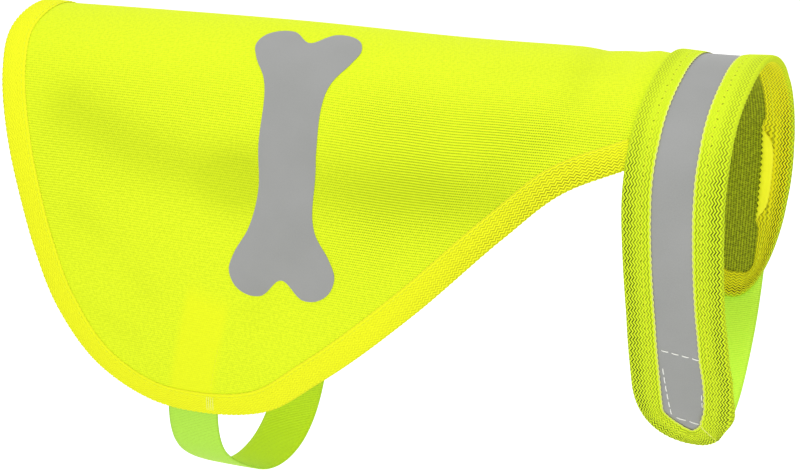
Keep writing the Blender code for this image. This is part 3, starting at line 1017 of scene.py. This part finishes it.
def steady(points, spacing):
    """The same closed outline with evenly spaced points."""
    along = lengths_along(points)
    return points_at(np.linspace(0.0, along[-1], round(along[-1] / spacing) + 1)[:-1], along, points)


# Darker copies of the panel's colours: partly the film behind the mesh, partly painted shade.
inside_knit = knit_material("collar_lining_knit", "#B6C020", "#8A9414", "#161A00", LINING_ROW, turn=90.0,
                            strength=(1.0, 1.0), low=1.0)
neckband = cut_cloth(
    "collar_cloth",
    steady(rounded_strip(COLLAR, 2.0 * MM), COLLAR_GRID),
    COLLAR_GRID,
    lambda x, across: COLLAR_OUT + ease(x, across),
    PANEL_THICKNESS,
    inside_knit,
)
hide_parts("collar_band")
stripe = cut_cloth(
    "collar_film",
    steady(rounded_strip(LEAF_EDGE, -2.0 * MM), FILM_GRID),
    FILM_GRID,
    lambda x, across: COLLAR_FILM_OUT + ease(x, across),
    FILM_THICKNESS,
    film,
)
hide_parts("collar_tape")
for piece in (neckband, stripe):
    print(piece.name, triangle_count(piece), "triangles")

# %% [markdown]
# The inner leaf of the front edge is left a little wider where the neck turns tightest, low on the far side.
# Nothing holds its edge down there, so it curls back on itself and shows its plain back. That is why the
# tape isn't simply swept along the edge: a function may loosen it, row by row.

# %% The curled leaf
COLLAR_MIDDLE = 0.166  # x, between its rear and front edges
CURL_ACROSS = -0.112
CURL_HALF = 0.024  # half as long as the curled part
CURL_FROM = 8.0 * MM  # from the fold: where the leaf starts to be wider
CURL_WIDER = 1.3  # by this share of what is past there
CURL_STRAIGHT = 5.0 * MM  # past there, before it turns back
CURL_RADIUS = 1.2 * MM
INNER_LEAF_OUT = 1.6 * MM


def curl(x, across, v, inset, out):
    """A wider inner leaf whose edge curls back, round one place of the front edge."""
    there = np.exp(-(((across - CURL_ACROSS) / CURL_HALF) ** 6)) * (x > COLLAR_MIDDLE)
    past = np.clip(-v - CURL_FROM, 0.0, None)
    wider = past * (1.0 + CURL_WIDER * there)
    whole = LEAF_WIDTH - CURL_FROM
    straight = np.minimum(wider, whole + (CURL_STRAIGHT - whole) * there)
    turned = np.clip((wider - straight) / CURL_RADIUS, 0.0, math.pi)
    back = wider - straight - turned * CURL_RADIUS
    above = np.where(past > 0.0, INNER_LEAF_OUT - out, 0.0)
    curled_inset = inset - past + straight - back + (CURL_RADIUS - above) * np.sin(turned)
    return curled_inset, out - (CURL_RADIUS - above) * (1.0 - np.cos(turned))


print("the curled leaf is", round(2 * CURL_HALF / MM), "mm long")

# %% [markdown]
# The binding starts at the lower front corner of the near side and goes all the way round. Its last stretch
# laps over its start, cuts the corner there, and ends with a short seam of its own. A table gives that
# stretch: the fold, and where the leaf ends.

# %% Collar binding
collar_section = cross_section(
    outer_leaf=(
        Leaf(14.5, 3.42),
        Leaf(12.0, 3.51),
        Leaf(10.0, 3.60),
        Leaf(6.0, 3.80),
        Leaf(3.5, 3.90),
        Leaf(1.6, 3.90),
    ),
    inner_leaf=(
        Leaf(1.6, 1.45),
        Leaf(4.0, 1.48),
        Leaf(12.0, 1.62),
        Leaf(14.5, 1.56),
    ),
)
Lap = namedtuple("Lap", "x across leaf_x leaf_across")
LAP = np.array([
    Lap(0.1931, 0.1800, 0.1783, 0.1805),
    Lap(0.1928, 0.1890, 0.1784, 0.1905),
    Lap(0.1922, 0.1980, 0.1776, 0.2010),
    Lap(0.1909, 0.2057, 0.1752, 0.2100),
    Lap(0.1868, 0.2138, 0.1782, 0.2165),
    Lap(0.1834, 0.2202, 0.1818, 0.2216),
])
LAP_START = (0.1895, 0.2045)
LAP_FROM = 0.172  # how far round it leaves the collar's own edge
LAP_LIFT = 1.0 * MM
LAP_RISE = (0.186, 0.202)  # how far round it climbs onto the start of the tape
LAP_STEP = 1.0 * MM


def nearest(points, line):
    """The point of a line nearest to each point."""
    gaps = np.linalg.norm(points[:, None] - line[None], axis=2)
    return line[gaps.argmin(axis=1)]


# The fold goes round the collar's edge from its start. Its leaf ends at the nearest place of the leaf edge.
edge = rounded_strip(COLLAR, 0.0)[:-1]
edge = np.roll(edge, -np.abs(edge - LAP_START).sum(axis=1).argmin(), axis=0)
leaf_end = nearest(edge, rounded_strip(LEAF_EDGE, 0.0, side_steps=3000))
# The last of the way round is left off, and the lap takes over.
late = np.arange(len(edge)) > len(edge) / 2
kept = ~(late & (edge[:, 0] > COLLAR_MIDDLE) & (edge[:, 1] > LAP_FROM))
sewn_edge, leaf_end = edge[kept], leaf_end[kept]
lap = np.vstack([np.concatenate([sewn_edge[-1], leaf_end[-1]]), LAP])
lap_along = lengths_along(lap[:, :2])
lap = between_rows(lap, lap_along, np.arange(LAP_STEP, lap_along[-1], LAP_STEP))
edge = np.vstack([sewn_edge, lap[:, :2]])
collar_inward = (np.vstack([leaf_end, lap[:, 2:]]) - edge) / LEAF_WIDTH
late = np.arange(len(edge)) > len(edge) / 2
swell = LAP_LIFT * np.interp(edge[:, 1], LAP_RISE, (0.0, 1.0)) * late
binding = bound_edge(
    "collar_binding_tape",
    edge,
    collar_inward,
    collar_section,
    fine_inside=True,
    material=collar_tape,
    loosen=curl,
    swell=swell,
)
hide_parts("collar_binding")
print("collar binding:", triangle_count(binding), "triangles")

# %% [markdown]
# ## Webbing
# Two straps of woven webbing, 30 mm wide, close the vest. Webbing is dense and stiff across its width, so a
# free strap hangs in a clean curve, which a route of a few points gives: x, how far up the near side from
# the lowest line it lies, and how far out from the figure, in mm. It looks smoother and greener than the
# knit. Its weft makes fine cross ribs, about one every millimetre, and its selvedges are a touch darker.
# Its far half is painted yellower, as painted bounce light from the panel, and a faint painted glow, more on
# the far half, stands in for light coming through it. Higher up the glow is weaker: painted shade.

# %% Webbing
WEFT_RIB = 1.05 * MM
WARP_LINE = 0.55 * MM
WEBBING_THICKNESS = 1.0 * MM
SELVEDGE = (STRAP_WIDTH / 2 - 1.2 * MM, STRAP_WIDTH / 2 - 0.7 * MM)  # from the middle: where it starts
SELVEDGE_ROUND = 0.6 * MM
STRAP_STEP = 2.0 * MM
STRAP_COLUMNS = 9  # across one face


def webbing_material(name, near, far, far_painted_glow, shaded, left):
    """Woven webbing: cross ribs of weft, fine warp lines along it, and slightly darker selvedges. The far
    half is painted yellower, as painted bounce light, and a faint painted glow stands in for light that comes
    through. Between the two heights of shaded, the glow falls to what is left of it: painted shade."""
    material, tree, shader = new_material(name)
    flat = add(tree, "UVMap", uv_map="cut")
    sizes = add(tree, "SeparateXYZ", {0: flat}).outputs
    weft = share(tree, (wave(tree, sizes["X"], WEFT_RIB), -0.6, 0.9))
    warp = wave(tree, sizes["Y"], WARP_LINE)
    place = add(tree, "SeparateXYZ", {0: add(tree, "TexCoord").outputs["Object"]}).outputs
    far_half = share(tree, (place["Y"], -0.045, 0.010))
    fibres = add(tree, "TexNoise", {"Vector": flat, "Scale": 0.9 / MM, "Detail": 2.0})
    aside = add(tree, "Math", {0: sizes["Y"]}, operation="ABSOLUTE")
    # Painted bounce light: the far half, which faces the yellow panel, is painted yellower.
    colour = coats(
        tree,
        near,
        (far_half, far),
        (share(tree, weft, (fibres, 0.3, 0.7, 0.12, 0.34)), "#6E9C10"),
        (share(tree, (aside, *SELVEDGE, 0.0, 0.3)), "#8CBE1C"),
    )
    # Painted light and shade: a faint glow, stronger on the far half, stands in for light through the
    # webbing, and falls off higher up.
    through = add(tree, "MapRange", {"Value": far_half, "To Min": 0.05, "To Max": far_painted_glow})
    through = share(tree, through, (place["Z"], *shaded, 1.0, left))
    plug(tree, shader, {"Emission Color": colour, "Emission Strength": through})
    lines = add(tree, "Bump", {"Height": warp, "Strength": 0.2, "Distance": 0.05 * MM})
    ribs = add(tree, "Bump", {"Height": weft, "Strength": 0.5, "Distance": 0.12 * MM, "Normal": lines},
               invert=True)
    cloth_finish(tree, shader, colour, ribs, 0.62, "#E0FFA0")
    return material


def strap(name, route, material):
    """Flat webbing along a route, with rounded selvedges."""
    x, up, out = smooth_line(np.array(route) * (1.0, 1.0, MM), STRAP_STEP).T
    across = half_girth(x) - up
    half = STRAP_WIDTH / 2
    columns = np.linspace(SELVEDGE_ROUND - half, half - SELVEDGE_ROUND, STRAP_COLUMNS)
    offset = np.concatenate([columns, [half], columns[::-1], [-half]])
    outer_face = np.ones(STRAP_COLUMNS)
    away = WEBBING_THICKNESS / 2 * np.concatenate([outer_face, [0.0], -outer_face, [0.0]])
    row_x = x[:, None] + offset
    row_across = np.broadcast_to(across[:, None], row_x.shape)
    middle = worn(row_x, row_across, np.broadcast_to(out[:, None], row_x.shape)).reshape(-1, len(offset), 3)
    heading = np.gradient(middle, axis=0)
    width = middle[:, STRAP_COLUMNS - 1 : STRAP_COLUMNS] - middle[:, :1]
    face = np.cross(width, heading)
    face /= np.linalg.norm(face, axis=2, keepdims=True)
    points = middle + face * away[:, None]
    u = lengths_along(middle[:, STRAP_COLUMNS // 2])
    flat = np.stack(np.broadcast_arrays(u[:, None], offset), axis=-1)
    return skin(name, points[None], flat[None], material)


belly_webbing = webbing_material("woven_belly_webbing", "#B8EE4C", "#C2E226",
                                 far_painted_glow=0.28, shaded=(-0.240, -0.205), left=0.45)
neck_webbing = webbing_material("woven_neck_webbing", "#B8EE4C", "#C6F444",
                                far_painted_glow=0.36, shaded=(-0.172, -0.138), left=0.40)
Route = namedtuple("Route", "x up out")
belly_strap = strap("belly_strap_webbing", (
    Route(-0.0760, 0.147, -0.45),
    Route(-0.0850, 0.120, -0.50),
    Route(-0.0900, 0.102, -0.60),
    Route(-0.0935, 0.092, -1.60),
    Route(-0.0970, 0.080, -2.00),
    Route(-0.0980, 0.052, 2.00),
    Route(-0.0910, 0.024, -3.00),
    Route(-0.0840, -0.010, -6.00),
    Route(-0.0820, -0.045, 0.00),
    Route(-0.0800, -0.078, -2.00),
    Route(-0.0795, -0.090, -1.60),
    Route(-0.0785, -0.102, -0.60),
    Route(-0.0775, -0.120, -0.50),
    Route(-0.0760, -0.147, -0.45),
), belly_webbing)
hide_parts("belly_strap")
neck_strap = strap("neck_strap_webbing", (
    Route(0.166, 0.079, 0.50),
    Route(0.166, 0.055, 0.50),
    Route(0.1645, 0.030, -4.50),
    Route(0.1635, 0.000, -10.50),
    Route(0.1625, -0.040, -5.00),
    Route(0.1618, -0.085, 4.40),
    Route(0.162, -0.105, 4.90),
    Route(0.162, -0.132, 4.90),
), neck_webbing)
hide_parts("neck_strap")
for piece in (belly_strap, neck_strap):
    print(piece.name, triangle_count(piece), "triangles")

# %% [markdown]
# ## Stitching
# Every stitch is a short round thread whose ends dive into the cloth, with a small gap to the next. A
# dashed line in a material would look printed, and real threads catch the light and throw small shadows. A
# row of them is made as one piece. Twisted polyester thread is a little shinier than the cloth.
#
# The open box on the collar's film holds the end of the neck strap behind it, in off-white thread. A full
# box holds the strap's other end, outside on the far side. Yellow thread, which nearly vanishes in the
# cloth, runs along all the bindings and along the ends of the belly strap. Paler yellow thread shows more:
# in the bar tacks that hold that strap at the hem, and on the collar's lapped end.

# %% Stitches
Bend = namedtuple("Bend", "along height girth")  # a share of its length, then radii of its thread
STITCH = np.array([
    Bend(0.00, -1.2, 0.5),
    Bend(0.10, 0.0, 0.9),
    Bend(0.35, 0.5, 1.0),
    Bend(0.65, 0.5, 1.0),
    Bend(0.90, 0.0, 0.9),
    Bend(1.00, -1.2, 0.5),
])
STITCH_SIDES = 6


def stitches(name, starts, ends, out, material, thread):
    """A row of stitches from flat starts to flat ends. out is how far out the cloth's face lies there, and
    thread how thick the thread is."""
    radius = thread / 2
    middle = starts[:, None] + STITCH[:, :1] * (ends - starts)[:, None]
    x, across = middle[..., 0], middle[..., 1]
    height = np.broadcast_to(np.reshape(out, (-1, 1)), x.shape) + ease(x, across) + STITCH[:, 1] * radius
    shape = (*x.shape, 3)
    line = worn(x, across, height).reshape(shape)
    up = worn(x, across, height + MM).reshape(shape) - line
    heading = np.gradient(line, axis=1)
    side = np.cross(heading, up)
    side /= np.linalg.norm(side, axis=2, keepdims=True)
    up = np.cross(side, heading)
    up /= np.linalg.norm(up, axis=2, keepdims=True)
    turn = np.arange(STITCH_SIDES) * 2.0 * math.pi / STITCH_SIDES
    ring = np.cos(turn)[:, None] * side[:, :, None] + np.sin(turn)[:, None] * up[:, :, None]
    points = line[:, :, None] + radius * STITCH[:, 2][:, None, None] * ring
    flat = np.repeat(middle[:, :, None], STITCH_SIDES, axis=2)
    return skin(name, points, flat, material)


def seam(points, pitch, gap):
    """Starts and ends of evenly spaced stitches along a flat line."""
    points = np.array(points)
    along = lengths_along(points)
    count = max(1, round((along[-1] + gap) / pitch))
    start = np.arange(count) * (along[-1] + gap) / count
    end = start + (along[-1] + gap) / count - gap
    return points_at(start, along, points), points_at(end, along, points)


def sew(name, lines, pitch, gap, out, material, thread):
    """Stitches along several flat lines, as one piece."""
    rows = [seam(line, pitch, gap) for line in lines]
    starts, ends = (np.vstack([row[side] for row in rows]) for side in (0, 1))
    print(name, len(starts), "stitches")
    return stitches(name, starts, ends, out, material, thread)


def thread_material(name, colour):
    """Twisted polyester thread: slightly shiny, with a fine twist."""
    material, tree, shader = new_material(name)
    flat = add(tree, "UVMap", uv_map="cut")
    fibres = add(tree, "TexNoise", {"Vector": flat, "Scale": 2.5 / MM, "Detail": 1.0})
    twist = add(tree, "Bump", {"Height": fibres, "Strength": 0.4, "Distance": 0.05 * MM})
    plug(tree, shader, {"Base Color": colour, "Roughness": 0.55, "Normal": twist})
    return material


yellow_thread = thread_material("yellow_polyester_thread", "#EDF520")
pale_thread = thread_material("pale_yellow_polyester_thread", "#F6FA78")
white_thread = thread_material("off_white_polyester_thread", "#F5F6EE")

# %% Seams, boxes and bar tacks
HEM_NEEDLE_LINE = 12.0 * MM
FINE_THREAD = 0.35 * MM
BOX_THREAD = 0.60 * MM
hem_seam = hem_line + HEM_NEEDLE_LINE * hem_inward
collar_seam = sewn_edge + NEEDLE_LINE * collar_inward[: len(sewn_edge)]
for name, line, out in (
    ("hem_outer_topstitch", hem_seam, 1.58 * MM),
    ("hem_inner_topstitch", hem_seam, -0.62 * MM),
    ("collar_outer_topstitch", collar_seam, 3.94 * MM),
    ("collar_inner_topstitch", collar_seam, 1.18 * MM),
):
    sew(name, [line], pitch=3.2 * MM, gap=0.8 * MM, out=out,
        material=yellow_thread, thread=FINE_THREAD)

sew("neck_strap_box_near", (
    ((0.1594, 0.1667), (0.1778, 0.1697)),
    ((0.1597, 0.1770), (0.1614, 0.2068)),
    ((0.1634, 0.2086), (0.1745, 0.2116)),
    ((0.1776, 0.1905), (0.1774, 0.1990)),
), pitch=5.6 * MM, gap=1.3 * MM, out=3.14 * MM, material=white_thread, thread=BOX_THREAD)
sew("collar_tape_lap_seam", (
    ((0.1754, 0.2098), (0.1822, 0.2212)),
), pitch=3.3 * MM, gap=0.7 * MM, out=4.85 * MM, material=pale_thread, thread=0.4 * MM)
sew("neck_strap_box_far", (
    ((0.1505, -0.1335), (0.1735, -0.1335)),
    ((0.1735, -0.1345), (0.1735, -0.1600)),
    ((0.1735, -0.1610), (0.1505, -0.1610)),
    ((0.1505, -0.1600), (0.1505, -0.1345)),
), pitch=4.6 * MM, gap=1.2 * MM, out=5.40 * MM, material=white_thread, thread=BOX_THREAD)
sew("belly_strap_seams", (
    ((-0.0736, 0.1950), (-0.0812, 0.2187)),
    ((-0.0620, -0.1750), (-0.0635, -0.2080)),
), pitch=3.4 * MM, gap=0.9 * MM, out=PANEL_MIDDLE + PANEL_THICKNESS / 2,
    material=yellow_thread, thread=FINE_THREAD)
sew("bar_tacks", (
    *(((x, 0.2256), (x - 0.0016, 0.2350)) for x in (-0.0846, -0.0834, -0.0822, -0.0810)),
    *(((x, -0.2136), (x - 0.0016, -0.2230)) for x in (-0.0826, -0.0814, -0.0802, -0.0790)),
), pitch=9.0 * MM, gap=1.0 * MM, out=1.92 * MM, material=pale_thread, thread=0.5 * MM)
